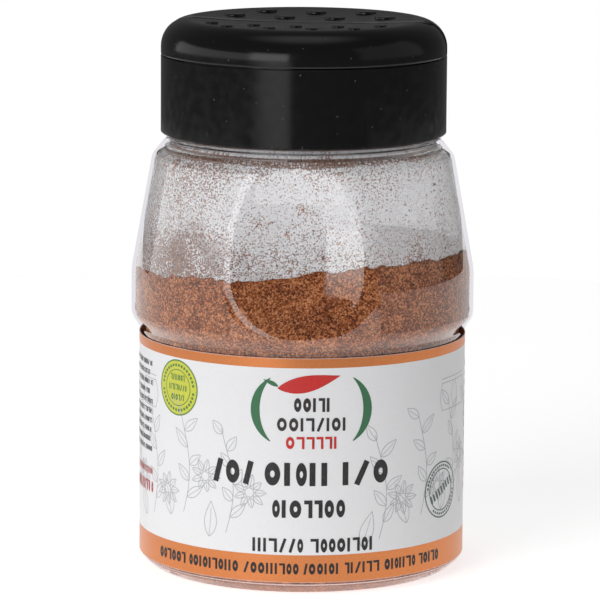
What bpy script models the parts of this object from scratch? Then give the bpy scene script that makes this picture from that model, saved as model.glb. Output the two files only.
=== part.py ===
"""A clear spice jar of ground nutmeg with a black cap that has two hinged flaps.

Lengths below are in millimetres and are turned to metres where a mesh is made. The jar
stands on Z = 0 with its axis on Z, and the front of its label faces -Y.
"""

import math

import bmesh
import bpy
from mathutils import Matrix, Vector, noise

MM = 0.001
GAP = 0.3  # clearance between pieces that touch on the real jar
STEPS = 40  # sides of a turned piece
PIN_SIDES = 8  # sides of a plug
MERGE = 1e-7  # metres, only for points that are the same point

# Jar
WALL = 0.9
FOOT_RADIUS = 29.4
PANEL_RADIUS = 29.25
PANEL_BOTTOM, PANEL_TOP = 2.35, 43.15
LIP_RADIUS = 29.75  # the plain strip just over the label
BELLY_RADIUS = 31.3
SHOULDER_RADIUS, SHOULDER_HEIGHT = 27.6, 75.9
COLLAR_RADIUS = 25.2
NECK_RADIUS, NECK_TOP = 23.2, 96.0

# Thumb recesses: shallow dishes of an ellipsoid, front and back
RECESS_TURN = math.radians(-2.0)
RECESS_FLOOR = 25.6  # from the jar's axis to the deepest point
RECESS_HEIGHT = 67.5
RECESS_AXES = Vector((32.0, 20.0, 30.0))

# Contents and label
FILL_LEVEL = 57.4
FILL_WAVES = 0.7
FILL_LEAN = 2.1  # how far the powder stands over its level on the right, and under it on the left
LABEL_BOTTOM, LABEL_TOP = 2.4, 43.0
LABEL_THICKNESS = 0.3

# Cap
CAP_RADIUS = 26.1
CAP_BOTTOM, SEAM_HEIGHT, CAP_TOP = 79.55, 93.75, 100.3
CAP_FILLET = 5.0
SKIRT_WALL = 1.4
SHELL = 1.2  # thickness of the flaps
DECK = 2.0  # thickness of the plate under the flaps
DISH = 0.65  # how far the middle of the top lies under its rim
BRIDGE_TURN = math.radians(-8.8)
BRIDGE_NEAR, BRIDGE_FAR = -2.2, 1.0  # edges of the bridge, across it
BRIDGE_TOP = 99.6

# Plugs through the flaps: radius, spacing in a row, then (count, distance across the bridge) of each row
PLUG_RISE = 0.25
PLUG_DROP = 0.7
SOCKET_DROP = 1.0
FINE_PLUGS = (1.15, 7.64, ((5, -10.0), (4, -16.6)))
COARSE_PLUGS = (1.9, 9.27, ((4, 6.7), (3, 14.7)))


def clear_scene():
    for obj in list(bpy.data.objects):
        bpy.data.objects.remove(obj)


def material(name, colour, roughness, transmission=0.0):
    made = bpy.data.materials.new(name)
    made.use_nodes = True
    shader = made.node_tree.nodes["Principled BSDF"]
    shader.inputs["Base Color"].default_value = (*colour, 1.0)
    shader.inputs["Roughness"].default_value = roughness
    shader.inputs["Metallic"].default_value = 0.0
    shader.inputs["Transmission Weight"].default_value = transmission
    return made


def placed(name, bm, finish=None):
    """An object of this mesh, whose coordinates are in millimetres."""
    bmesh.ops.scale(bm, vec=(MM, MM, MM), verts=bm.verts)
    bmesh.ops.remove_doubles(bm, verts=bm.verts, dist=MERGE)
    bmesh.ops.recalc_face_normals(bm, faces=bm.faces)
    mesh = bpy.data.meshes.new(name)
    bm.to_mesh(mesh)
    bm.free()
    mesh.shade_smooth()
    mesh.set_sharp_from_angle(angle=math.radians(35))
    obj = bpy.data.objects.new(name, mesh)
    bpy.context.scene.collection.objects.link(obj)
    if finish:
        mesh.materials.append(finish)
    else:
        obj.hide_render = True
        obj.display_type = "WIRE"
    return obj


def combine(obj, other, operation):
    modifier = obj.modifiers.new(f"{operation.lower()} {other.name}", "BOOLEAN")
    modifier.object = other
    modifier.operation = operation


def rounded(corners):
    """An outline of (radius, height) points from corners of (radius, height, fillet, sides)."""
    outline = []
    for index, (radius, height, fillet, sides) in enumerate(corners):
        here = Vector((radius, height))
        if not fillet:
            outline.append(here)
            continue
        before = (Vector(corners[index - 1][:2]) - here).normalized()
        after = (Vector(corners[index + 1][:2]) - here).normalized()
        half = before.angle(after) / 2
        centre = here + (before + after).normalized() * fillet / math.sin(half)
        start = (here + before * fillet / math.tan(half) - centre).normalized()
        end = (here + after * fillet / math.tan(half) - centre).normalized()
        for step in range(sides + 1):
            outline.append(centre + fillet * start.slerp(end, step / sides))
    return outline


def spun(name, outline, finish=None):
    """A turned solid. The outline is closed, or starts and ends on the axis."""
    bm = bmesh.new()
    points = [bm.verts.new((point[0], 0.0, point[1])) for point in outline]
    edges = [bm.edges.new(pair) for pair in zip(points, points[1:])]
    if outline[0][0] > 0 or outline[-1][0] > 0:
        edges.append(bm.edges.new((points[-1], points[0])))
    bmesh.ops.spin(
        bm, geom=points + edges, axis=(0, 0, 1), cent=(0, 0, 0), angle=math.tau, steps=STEPS
    )
    bmesh.ops.remove_doubles(bm, verts=bm.verts, dist=MERGE / MM)
    return placed(name, bm, finish)


def ellipsoid(name, grown, turn):
    """The hollow of one thumb recess, made larger by this much on every side."""
    bm = bmesh.new()
    bmesh.ops.create_uvsphere(bm, u_segments=40, v_segments=20, radius=1.0)
    axes = RECESS_AXES + Vector((grown, grown, grown))
    centre = Vector((0, -RECESS_FLOOR - RECESS_AXES.y, RECESS_HEIGHT))
    bmesh.ops.transform(
        bm,
        verts=bm.verts,
        matrix=Matrix.Rotation(turn, 4, "Z") @ Matrix.Translation(centre) @ Matrix.Diagonal((*axes, 1)),
    )
    return placed(name, bm)


def cut_recesses(obj, grown):
    for side, turn in (("front", RECESS_TURN), ("back", RECESS_TURN + math.pi)):
        combine(obj, ellipsoid(f"{obj.name} {side} recess", grown, turn), "DIFFERENCE")


def body_corners(inset, floor):
    """Corners of the jar's body from the middle of its floor to its shoulder, set in by this much."""
    ledge = inset * 0.4  # a sloping wall is as thick as the others when its corners move this much in height
    return [
        (0.0, floor, 0, 0),
        (PANEL_RADIUS - inset, floor, 2.0, 3),
        (PANEL_RADIUS - inset, 44.2 + ledge, 0, 0),
        (BELLY_RADIUS - inset, 46.4 + ledge, 3.6 - inset, 3),
        (BELLY_RADIUS - inset, 54.6, 0, 0),
    ]


def make_jar(finish):
    outline = rounded(
        [
            (0.0, 1.2, 0, 0),
            (22.6, 1.2, 0, 0),
            (24.4, 0.0, 0, 0),
            (FOOT_RADIUS, 0.0, 2.2, 3),
            (FOOT_RADIUS, PANEL_BOTTOM, 0, 0),
            (PANEL_RADIUS, PANEL_BOTTOM, 0, 0),
            (PANEL_RADIUS, PANEL_TOP, 0, 0),
            (LIP_RADIUS, PANEL_TOP, 0, 0),
            (LIP_RADIUS, 44.25, 0, 0),
            (BELLY_RADIUS, 46.4, 3.6, 4),
            (BELLY_RADIUS, 54.6, 0, 0),
            (SHOULDER_RADIUS, SHOULDER_HEIGHT, 2.5, 3),
            (COLLAR_RADIUS, 78.05, 0, 0),
            (24.4, 78.2, 0, 0),
            (24.4, 78.5, 0, 0),
            (25.0, 78.65, 0, 0),
            (25.0, 79.2, 0, 0),
            (NECK_RADIUS, 79.3, 0, 0),
            (NECK_RADIUS, NECK_TOP, 0, 0),
            (NECK_RADIUS - WALL, NECK_TOP, 0, 0),
        ]
    )
    # The mouth is cut by the hollow, whose top stands clear over the rim.
    jar = spun("jar", [*outline[:-1], Vector((0.0, NECK_TOP))], finish)
    hollow_corners = [
        *body_corners(WALL, 1.2 + WALL),
        (SHOULDER_RADIUS - WALL, SHOULDER_HEIGHT - 0.4, 1.7, 2),
        (NECK_RADIUS - WALL, 78.9, 0, 0),
        (NECK_RADIUS - WALL, NECK_TOP + 5, 0, 0),
        (0.0, NECK_TOP + 5, 0, 0),
    ]
    hollow = spun("jar hollow", rounded(hollow_corners))
    cut_recesses(jar, 0.0)
    cut_recesses(hollow, WALL)
    combine(jar, hollow, "DIFFERENCE")


def fill_height(x, y):
    """The uneven top of the powder, which has run to the right of the label."""
    waves = FILL_WAVES * noise.noise(Vector((x / 17.0, y / 17.0, 0.7)))
    return FILL_LEVEL + waves + FILL_LEAN * math.tanh(x / 12.0)


def make_contents(finish):
    inset = WALL + GAP
    corners = [
        *body_corners(inset, 1.2 + inset),
        (SHOULDER_RADIUS - inset, SHOULDER_HEIGHT - 1, 0, 0),
        (0.0, SHOULDER_HEIGHT - 1, 0, 0),
    ]
    powder = spun("ground_nutmeg", rounded(corners), finish)
    cut_recesses(powder, inset)
    bm = bmesh.new()
    rings, reach = 5, BELLY_RADIUS + 4
    bmesh.ops.create_circle(bm, cap_ends=True, radius=reach, segments=STEPS)
    top = bmesh.ops.extrude_face_region(bm, geom=bm.faces[:])["geom"]
    cap = next(item for item in top if isinstance(item, bmesh.types.BMFace))
    for ring in range(1, rings):
        shrink = reach / rings / math.cos(math.pi / STEPS)
        bmesh.ops.inset_region(bm, faces=[cap], thickness=shrink, use_even_offset=True)
    bmesh.ops.poke(bm, faces=[cap])
    bm.verts.ensure_lookup_table()
    for vert in bm.verts[STEPS:]:
        vert.co.z = fill_height(vert.co.x, vert.co.y)
    for vert in bm.verts[:STEPS]:
        vert.co.z = -5.0
    combine(powder, placed("powder level", bm), "INTERSECT")


def make_label(finish):
    inner = PANEL_RADIUS + GAP
    outer = inner + LABEL_THICKNESS
    ring = ((inner, LABEL_TOP), (inner, LABEL_BOTTOM), (outer, LABEL_BOTTOM), (outer, LABEL_TOP))
    spun("label", [Vector(point) for point in ring], finish)


def lid_outline(inset, bottom):
    """Half the section of the lid, set in by this much: side, fillet and dished top, out to in."""
    outline = [Vector((CAP_RADIUS - inset, bottom))]
    sides, rings = 4, 3
    centre = Vector((CAP_RADIUS - CAP_FILLET, CAP_TOP - CAP_FILLET))
    for step in range(sides + 1):
        angle = math.pi / 2 * step / sides
        outline.append(centre + (CAP_FILLET - inset) * Vector((math.cos(angle), math.sin(angle))))
    for ring in range(rings - 1, -1, -1):
        share = ring / rings
        outline.append(Vector((centre.x * share, CAP_TOP - inset - DISH * (1 - share**2))))
    return outline


def along_bridge(bm):
    bmesh.ops.rotate(bm, verts=bm.verts, matrix=Matrix.Rotation(BRIDGE_TURN, 3, "Z"))


def slab(name, near, far, bottom, top):
    """A block that runs the length of the bridge, between these distances across it."""
    bm = bmesh.new()
    size = Matrix.Diagonal((4 * CAP_RADIUS, far - near, top - bottom, 1))
    middle = Matrix.Translation((0, (near + far) / 2, (bottom + top) / 2))
    bmesh.ops.create_cube(bm, size=1.0, matrix=middle @ size)
    along_bridge(bm)
    return placed(name, bm)


def plug_pins(name, plugs, grown, bottom, rise):
    """One upright pin for each plug of a flap, from under the flap up to this much over its top."""
    radius, pitch, rows = plugs
    bm = bmesh.new()
    for count, across in rows:
        for index in range(count):
            along = (index - (count - 1) / 2) * pitch
            spread = min(1.0, math.hypot(along, across) / (CAP_RADIUS - CAP_FILLET))
            top = CAP_TOP - DISH * (1 - spread**2) + rise
            low = top - rise - bottom
            bmesh.ops.create_cone(
                bm,
                cap_ends=True,
                segments=PIN_SIDES,
                radius1=radius + grown,
                radius2=radius + grown,
                depth=top - low,
                matrix=Matrix.Translation((along, across, (top + low) / 2)),
            )
    along_bridge(bm)
    return placed(name, bm)


def make_cap_body(finish):
    inset = SHELL + GAP
    under = CAP_TOP - inset - DISH - DECK
    bore = NECK_RADIUS + GAP
    outline = [
        Vector((0.0, under)),
        Vector((bore, under)),
        Vector((bore, 92.0)),
        Vector((CAP_RADIUS - SKIRT_WALL, 91.0)),
        Vector((CAP_RADIUS - SKIRT_WALL, CAP_BOTTOM)),
        Vector((CAP_RADIUS - 0.4, CAP_BOTTOM)),
        Vector((CAP_RADIUS - 0.05, CAP_BOTTOM + 0.35)),
        Vector((CAP_RADIUS - 0.05, SEAM_HEIGHT)),
        *lid_outline(inset, SEAM_HEIGHT),
    ]
    body = spun("cap_body", outline, finish)
    foot = SEAM_HEIGHT - 0.6
    blank = [*lid_outline(0.12, foot), *reversed(lid_outline(inset + 0.5, foot))]
    bridge = spun("bridge blank", blank)
    combine(bridge, slab("bridge strip", BRIDGE_NEAR, BRIDGE_FAR, 80.0, BRIDGE_TOP), "INTERSECT")
    combine(body, bridge, "UNION")
    for name, plugs in (("fine", FINE_PLUGS), ("coarse", COARSE_PLUGS)):
        sockets = plug_pins(f"{name} sockets", plugs, 0.35, inset + SOCKET_DROP, 1.0)
        combine(body, sockets, "DIFFERENCE")


def make_flap(name, plugs, near, far, edge, finish):
    """One half of the lid with its plugs, under an empty that lies on its hinge."""
    shell = [*lid_outline(0.0, SEAM_HEIGHT + GAP), *reversed(lid_outline(SHELL, SEAM_HEIGHT + GAP))]
    flap = spun(name, shell, finish)
    combine(flap, slab(f"{name} half", near, far, 80.0, CAP_TOP + 5), "INTERSECT")
    pins = plug_pins(f"{name} plugs", plugs, 0.0, SHELL + PLUG_DROP, PLUG_RISE)
    combine(flap, pins, "UNION")
    hinge = bpy.data.objects.new(f"{name} hinge", None)
    bpy.context.scene.collection.objects.link(hinge)
    turn = Matrix.Rotation(BRIDGE_TURN, 4, "Z")
    hinge.matrix_world = turn @ Matrix.Translation(Vector((0, edge, BRIDGE_TOP)) * MM)
    flap.parent = hinge
    flap.matrix_parent_inverse = hinge.matrix_world.inverted()


def main():
    clear_scene()
    clear_plastic = material("clear plastic", (0.95, 0.96, 0.97), 0.05, transmission=1.0)
    nutmeg = material("ground nutmeg", (0.23, 0.07, 0.02), 0.9)
    paper = material("label paper", (0.87, 0.87, 0.89), 0.45)
    black_plastic = material("black plastic", (0.008, 0.008, 0.009), 0.35)
    make_jar(clear_plastic)
    make_contents(nutmeg)
    make_label(paper)
    make_cap_body(black_plastic)
    near_edge, far_edge = BRIDGE_NEAR - GAP, BRIDGE_FAR + GAP
    beyond = 2 * CAP_RADIUS
    make_flap("flap_fine", FINE_PLUGS, -beyond, near_edge, near_edge + GAP / 2, black_plastic)
    make_flap("flap_coarse", COARSE_PLUGS, far_edge, beyond, far_edge - GAP / 2, black_plastic)


main()
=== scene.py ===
"""A clear spice jar of ground nutmeg with a wrap-round paper label and a black shaker cap.

The jar stands on Z = 0 with its axis on Z, and the front of its label faces -Y. Sizes are
in millimetres, and turn to metres where a mesh is made.
"""

import logging
import math
import random
from collections.abc import Sequence
from dataclasses import dataclass, field
from enum import Enum

import bmesh
import bpy
import numpy as np
from mathutils import Matrix, Vector, noise


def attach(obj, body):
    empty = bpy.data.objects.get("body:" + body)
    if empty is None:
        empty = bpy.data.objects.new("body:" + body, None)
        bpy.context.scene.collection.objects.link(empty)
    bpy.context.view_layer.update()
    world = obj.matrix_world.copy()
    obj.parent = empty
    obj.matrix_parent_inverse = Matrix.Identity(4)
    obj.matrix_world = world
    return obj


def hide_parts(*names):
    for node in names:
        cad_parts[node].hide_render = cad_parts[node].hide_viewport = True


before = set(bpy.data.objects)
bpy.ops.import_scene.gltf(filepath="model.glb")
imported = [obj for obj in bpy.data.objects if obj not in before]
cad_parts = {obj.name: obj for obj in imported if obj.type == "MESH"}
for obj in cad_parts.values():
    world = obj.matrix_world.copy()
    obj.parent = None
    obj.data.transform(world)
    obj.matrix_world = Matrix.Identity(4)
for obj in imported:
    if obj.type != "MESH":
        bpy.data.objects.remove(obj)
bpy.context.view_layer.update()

MM = 0.001
JAR_BODY = "jar_body"
log = logging.getLogger("spice_jar")


class Slot(Enum):
    """Names of the material slots."""

    CLEAR = "clear_plastic"
    POWDER = "ground_nutmeg"
    PAPER = "label_paper"
    BLACK = "black_plastic"


# --------------------------------------------------------------------------- shapes


def smooth_least(first: np.ndarray, second: np.ndarray, width: float) -> np.ndarray:
    """The lesser of two values, with the corner between them rounded off.

    Args:
        first: one value for each point.
        second: the other value for each point.
        width: how far apart the two may be and still be rounded.

    Returns:
        The rounded minimum for each point.
    """
    near = np.clip(width - np.abs(first - second), 0.0, None) / width
    return np.minimum(first, second) - near**2 * width / 4


def rounded(corners: Sequence[tuple[float, float, float]], sides: int = 8) -> np.ndarray:
    """An outline whose corners are rounded.

    Args:
        corners: (radius, height, fillet) of each corner, in order.
        sides: number of straight lengths in each fillet.

    Returns:
        Rows of (radius, height).
    """
    outline: list[np.ndarray] = []
    for index, (radius, height, fillet) in enumerate(corners):
        here = np.array((radius, height))
        if not fillet:
            outline.append(here)
            continue
        before = np.array(corners[index - 1][:2]) - here
        after = np.array(corners[index + 1][:2]) - here
        before, after = before / np.linalg.norm(before), after / np.linalg.norm(after)
        half = math.acos(np.clip(before @ after, -1, 1)) / 2
        middle = (before + after) / np.linalg.norm(before + after)
        centre = here + middle * fillet / math.sin(half)
        start = here + before * fillet / math.tan(half) - centre
        end = here + after * fillet / math.tan(half) - centre
        for step in range(sides + 1):
            arm = start + (end - start) * step / sides
            outline.append(centre + arm / np.linalg.norm(arm) * fillet)
    return np.array(outline)


def refined(outline: np.ndarray, longest: float) -> np.ndarray:
    """The same outline with points added, so that no length is longer than this.

    Args:
        outline: rows of (radius, height).
        longest: the longest length that may stay.

    Returns:
        Rows of (radius, height).
    """
    rows = [outline[0]]
    for start, end in zip(outline[:-1], outline[1:]):
        count = max(1, math.ceil(float(np.linalg.norm(end - start)) / longest))
        rows.extend(start + (end - start) * step / count for step in range(1, count + 1))
    return np.array(rows)


def turned(outline: np.ndarray, sides: int) -> np.ndarray:
    """Points of an outline turned about Z.

    Args:
        outline: rows of (radius, height).
        sides: number of columns round the axis.

    Returns:
        An array of rows, columns and (x, y, z). The first column is at the back.
    """
    turn = np.linspace(0.0, math.tau, sides, endpoint=False) + math.pi
    radius = outline[:, 0, None]
    height = np.broadcast_to(outline[:, 1, None], (len(outline), sides))
    return np.stack([radius * np.sin(turn), -radius * np.cos(turn), height], axis=-1)


def joined_mesh(name: str, parts: Sequence[tuple[np.ndarray, list]]) -> bpy.types.Mesh:
    """One mesh from several sets of points and faces.

    Args:
        name: the mesh's name.
        parts: (points in millimetres, faces as lists of indices) of each part.

    Returns:
        The mesh, in metres.
    """
    points, faces, first = [], [], 0
    for found, polygons in parts:
        points.append(np.asarray(found, float).reshape(-1, 3))
        faces.extend([first + index for index in polygon] for polygon in polygons)
        first += len(points[-1])
    mesh = bpy.data.meshes.new(name)
    mesh.from_pydata((np.concatenate(points) * MM).tolist(), [], faces)
    mesh.update()
    return mesh


def grid_faces(rows: int, columns: int, closed: bool) -> list[list[int]]:
    """Four-sided faces over a grid of points.

    Args:
        rows: number of rows of points.
        columns: number of points in a row.
        closed: whether each row's last point joins its first.

    Returns:
        Faces as lists of indices.
    """
    faces = []
    for row in range(rows - 1):
        for column in range(columns if closed else columns - 1):
            after = (column + 1) % columns
            low, high = row * columns, (row + 1) * columns
            faces.append([low + column, low + after, high + after, high + column])
    return faces


def tidy_mesh(mesh: bpy.types.Mesh, merge: float = 1e-6, sharp: float | None = 40.0) -> None:
    """Merges doubled points, turns the normals outwards and shades the mesh.

    Args:
        mesh: the mesh to tidy.
        merge: distance in metres under which two points are one.
        sharp: angle in degrees over which an edge stays sharp, or None for none.
    """
    bm = bmesh.new()
    bm.from_mesh(mesh)
    bmesh.ops.remove_doubles(bm, verts=bm.verts, dist=merge)
    bmesh.ops.recalc_face_normals(bm, faces=bm.faces)
    bm.to_mesh(mesh)
    bm.free()
    mesh.shade_smooth()
    if sharp is not None:
        mesh.set_sharp_from_angle(angle=math.radians(sharp))


def piece(
    name: str,
    mesh: bpy.types.Mesh,
    material: bpy.types.Material,
    body: str = JAR_BODY,
    stands_for: Sequence[str] = (),
) -> bpy.types.Object:
    """Puts a mesh in the scene as a piece of the object.

    Args:
        name: the piece's name.
        mesh: its mesh, in the row frame.
        material: its finish.
        body: the body that it moves with.
        stands_for: the CAD nodes that it replaces.

    Returns:
        The new object.
    """
    made = bpy.data.objects.new(name, mesh)
    bpy.context.scene.collection.objects.link(made)
    mesh.materials.clear()
    mesh.materials.append(material)
    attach(made, body)
    if stands_for:
        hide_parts(*stands_for)
    log.info("%s: %d faces", name, len(mesh.polygons))
    return made


def carved(name: str, body: bpy.types.Mesh, cutter: bpy.types.Mesh) -> bpy.types.Mesh:
    """A mesh with another cut out of it.

    Args:
        name: the new mesh's name.
        body: the closed mesh that is cut.
        cutter: the closed mesh that cuts it.

    Returns:
        The mesh that is left.
    """
    scene = bpy.context.scene.collection
    kept = bpy.data.objects.new(f"{name}_whole", body)
    tool = bpy.data.objects.new(f"{name}_cutter", cutter)
    for item in (kept, tool):
        scene.objects.link(item)
    cut = kept.modifiers.new("cut", "BOOLEAN")
    cut.operation, cut.object, cut.solver = "DIFFERENCE", tool, "EXACT"
    graph = bpy.context.evaluated_depsgraph_get()
    made = bpy.data.meshes.new_from_object(kept.evaluated_get(graph))
    made.name = name
    for item in (kept, tool):
        bpy.data.objects.remove(item)
    return made


# --------------------------------------------------------------------------- nodes


@dataclass
class Nodes:
    """A short way to write a node tree."""

    tree: bpy.types.NodeTree

    def add(self, kind: str, inputs: dict | None = None, **settings: object) -> bpy.types.Node:
        """Adds a node.

        Args:
            kind: the node's type, such as ShaderNodeMath.
            inputs: value or socket for each named or numbered input.
            settings: the node's own properties.

        Returns:
            The node.
        """
        node = self.tree.nodes.new(kind)
        for key, value in settings.items():
            setattr(node, key, value)
        for key, value in (inputs or {}).items():
            self.feed(node.inputs[key], value)
        return node

    def feed(self, socket: bpy.types.NodeSocket, value: object) -> None:
        """Links a socket into an input, or sets the input to a value."""
        if isinstance(value, bpy.types.NodeSocket):
            self.tree.links.new(value, socket)
        else:
            socket.default_value = value

    def math(self, operation: str, *values: object, clamp: bool = False) -> bpy.types.NodeSocket:
        """The result of a Math node on these values or sockets."""
        inputs = dict(enumerate(values))
        return self.add("ShaderNodeMath", inputs, operation=operation, use_clamp=clamp).outputs[0]

    def step(
        self, value: object, low: float, high: float, start: float = 0.0, end: float = 1.0
    ) -> bpy.types.NodeSocket:
        """A smooth change from start to end as the value goes from low to high.

        Args:
            value: the socket that is followed.
            low: where the change begins.
            high: where it ends.
            start: the result below low.
            end: the result above high.

        Returns:
            The result's socket.
        """
        node = self.add(
            "ShaderNodeMapRange",
            {"Value": value, "From Min": low, "From Max": high, "To Min": start, "To Max": end},
            interpolation_type="SMOOTHSTEP",
        )
        return node.outputs["Result"]

    def band(self, value: object, low: float, high: float, soft: float) -> bpy.types.NodeSocket:
        """1 where the value lies between low and high, 0 outside, with soft edges."""
        inside = self.step(value, low - soft / 2, low + soft / 2)
        outside = self.step(value, high - soft / 2, high + soft / 2, 1.0, 0.0)
        return self.math("MULTIPLY", inside, outside)

    def mix(self, share: object, first: object, second: object) -> bpy.types.NodeSocket:
        """The colour between two colours."""
        node = self.add("ShaderNodeMix", data_type="RGBA")
        for key, value in zip(("Factor_Float", "A_Color", "B_Color"), (share, first, second)):
            socket = next(item for item in node.inputs if item.identifier == key)
            self.feed(socket, value)
        return next(item for item in node.outputs if item.identifier == "Result_Color")

    def noise(
        self, point: object, scale: object, detail: float = 2.0, rough: float = 0.5
    ) -> bpy.types.NodeSocket:
        """Noise from 0 to 1 at this many cells a millimetre, if the point is in millimetres."""
        inputs = {"Vector": point, "Scale": scale, "Detail": detail, "Roughness": rough}
        return self.add("ShaderNodeTexNoise", inputs).outputs["Fac"]

    def millimetres(self) -> bpy.types.NodeSocket:
        """The point on the object in millimetres."""
        place = self.add("ShaderNodeTexCoord").outputs["Object"]
        inputs = {0: place, "Scale": 1.0 / MM}
        return self.add("ShaderNodeVectorMath", inputs, operation="SCALE").outputs[0]

    def bump(self, height: object, strength: float, distance: float) -> bpy.types.NodeSocket:
        """A normal from a height, with the distance in millimetres."""
        inputs = {"Height": height, "Strength": strength, "Distance": distance * MM}
        return self.add("ShaderNodeBump", inputs).outputs["Normal"]


def new_group(name: str, inputs: dict[str, float], outputs: dict[str, str]) -> Nodes:
    """A shader node group with named sockets.

    Args:
        name: the group's name.
        inputs: name and starting value of each number that goes in, after a vector named Point.
        outputs: name and socket type of each result.

    Returns:
        The group's tree, with its Group Input and Group Output nodes named "in" and "out".
    """
    tree = bpy.data.node_groups.new(name, "ShaderNodeTree")
    tree.interface.new_socket("Point", in_out="INPUT", socket_type="NodeSocketVector")
    for key, value in inputs.items():
        socket = tree.interface.new_socket(key, in_out="INPUT", socket_type="NodeSocketFloat")
        socket.default_value = value
    for key, kind in outputs.items():
        tree.interface.new_socket(key, in_out="OUTPUT", socket_type=kind)
    tree.nodes.new("NodeGroupInput").name = "in"
    tree.nodes.new("NodeGroupOutput").name = "out"
    return Nodes(tree)


def specks_group() -> bpy.types.NodeTree:
    """Scattered specks of dust, as a mask and a tone that differs from speck to speck.

    Returns:
        The node group.
    """
    graph = new_group(
        "dust_specks",
        {"Cells": 3.0, "Cover": 0.3, "Edge": 0.12},
        {"Mask": "NodeSocketFloat", "Tone": "NodeSocketFloat"},
    )
    given, out = graph.tree.nodes["in"].outputs, graph.tree.nodes["out"].inputs
    warp = graph.add("ShaderNodeTexNoise", {"Vector": given["Point"], "Scale": 2.0, "Detail": 1.0})
    push = {0: warp.outputs["Color"], "Scale": 0.4}
    moved = graph.add("ShaderNodeVectorMath", push, operation="SCALE")
    both = {0: given["Point"], 1: moved.outputs[0]}
    point = graph.add("ShaderNodeVectorMath", both, operation="ADD")
    cells = graph.add("ShaderNodeTexVoronoi", {"Vector": point.outputs[0], "Scale": given["Cells"]})
    tone = graph.add("ShaderNodeSeparateColor", {0: cells.outputs["Color"]})
    # A cell holds a speck where its own random number is under the cover. The gap is its size.
    size = graph.math("SUBTRACT", given["Cover"], tone.outputs[0])
    reach = graph.math("MULTIPLY_ADD", size, 0.5, 0.4)
    inside = graph.math("SUBTRACT", reach, cells.outputs["Distance"])
    edge = graph.math("DIVIDE", inside, given["Edge"], clamp=True)
    present = graph.math("GREATER_THAN", size, 0.0)
    graph.feed(out["Mask"], graph.math("MULTIPLY", edge, present))
    graph.feed(out["Tone"], tone.outputs[1])
    return graph.tree


def grain_group() -> bpy.types.NodeTree:
    """The tone and the relief of a fine ground powder.

    Returns:
        The node group.
    """
    graph = new_group(
        "powder_grain",
        {"Cells": 3.0, "Clumps": 0.35},
        {"Tone": "NodeSocketFloat", "Spark": "NodeSocketFloat", "Height": "NodeSocketFloat"},
    )
    given, out = graph.tree.nodes["in"].outputs, graph.tree.nodes["out"].inputs
    cells = graph.add("ShaderNodeTexVoronoi", {"Vector": given["Point"], "Scale": given["Cells"]})
    split = graph.add("ShaderNodeSeparateColor", {0: cells.outputs["Color"]})
    fine = graph.noise(given["Point"], given["Cells"], 3.0)
    broad = graph.noise(given["Point"], given["Clumps"], 3.0)
    grains = graph.math("MULTIPLY_ADD", split.outputs[0], 0.9, -0.45)
    folded = graph.math("MULTIPLY_ADD", fine, 0.8, grains)
    wide = graph.math("MULTIPLY_ADD", broad, 0.7, -0.25)
    graph.feed(out["Tone"], graph.math("ADD", folded, wide, clamp=True))
    graph.feed(out["Spark"], graph.math("GREATER_THAN", split.outputs[1], 0.985))
    round_top = graph.math("SUBTRACT", 0.6, cells.outputs["Distance"], clamp=True)
    graph.feed(out["Height"], graph.math("MULTIPLY_ADD", broad, 0.6, round_top))
    return graph.tree


# --------------------------------------------------------------------------- finishes


Colour = tuple[float, float, float]


@dataclass(frozen=True)
class Finish:
    """A finish with one principled shader."""

    name: str
    colour: Colour
    roughness: float
    specular: float = 0.5

    def start(self) -> tuple[Nodes, bpy.types.Material, bpy.types.Node]:
        """A material with this finish's even values.

        Returns:
            Its nodes, the material and its principled shader.
        """
        made = bpy.data.materials.new(self.name)
        made.use_nodes = True
        shader = made.node_tree.nodes["Principled BSDF"]
        shader.inputs["Base Color"].default_value = (*self.colour, 1.0)
        shader.inputs["Roughness"].default_value = self.roughness
        shader.inputs["Specular IOR Level"].default_value = self.specular
        return Nodes(made.node_tree), made, shader

    def build(self) -> bpy.types.Material:
        """The material."""
        return self.start()[1]


@dataclass(frozen=True)
class ClearPlastic(Finish):
    """A clear moulded plastic, which lets light fall straight through onto what it holds.

    Near a silhouette the wall is seen along its length and lets the background through.
    """

    ior: float = 1.5
    coat: float = 1.0
    rim_tint: Colour = (0.88, 0.87, 0.89)
    rim_from: float = 0.76
    rim_to: float = 0.80

    def build(self) -> bpy.types.Material:
        """The material."""
        graph, made, shader = self.start()
        shader.inputs["Transmission Weight"].default_value = 1.0
        shader.inputs["IOR"].default_value = self.ior
        shader.inputs["Coat Weight"].default_value = self.coat
        shader.inputs["Coat Roughness"].default_value = 0.02
        point = graph.millimetres()
        flow = graph.noise(point, 0.12, 1.0)
        graph.feed(shader.inputs["Normal"], graph.bump(flow, 0.05, 0.3))
        path = graph.add("ShaderNodeLightPath")
        rays = path.outputs
        straight = graph.math("MAXIMUM", rays["Is Shadow Ray"], rays["Is Diffuse Ray"])
        through = graph.add("ShaderNodeBsdfTransparent", {"Color": (*self.colour, 1.0)})
        side_on = graph.add("ShaderNodeLayerWeight", {"Blend": 0.5}).outputs["Facing"]
        rim = graph.add("ShaderNodeBsdfTransparent", {"Color": (*self.rim_tint, 1.0)})
        near_edge = graph.step(side_on, self.rim_from, self.rim_to)
        edged = {0: near_edge, 1: shader.outputs[0], 2: rim.outputs[0]}
        edged = graph.add("ShaderNodeMixShader", edged).outputs[0]
        mixed = {0: straight, 1: edged, 2: through.outputs[0]}
        mixed = graph.add("ShaderNodeMixShader", mixed).outputs[0]
        graph.feed(made.node_tree.nodes["Material Output"].inputs["Surface"], mixed)
        return made


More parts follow.
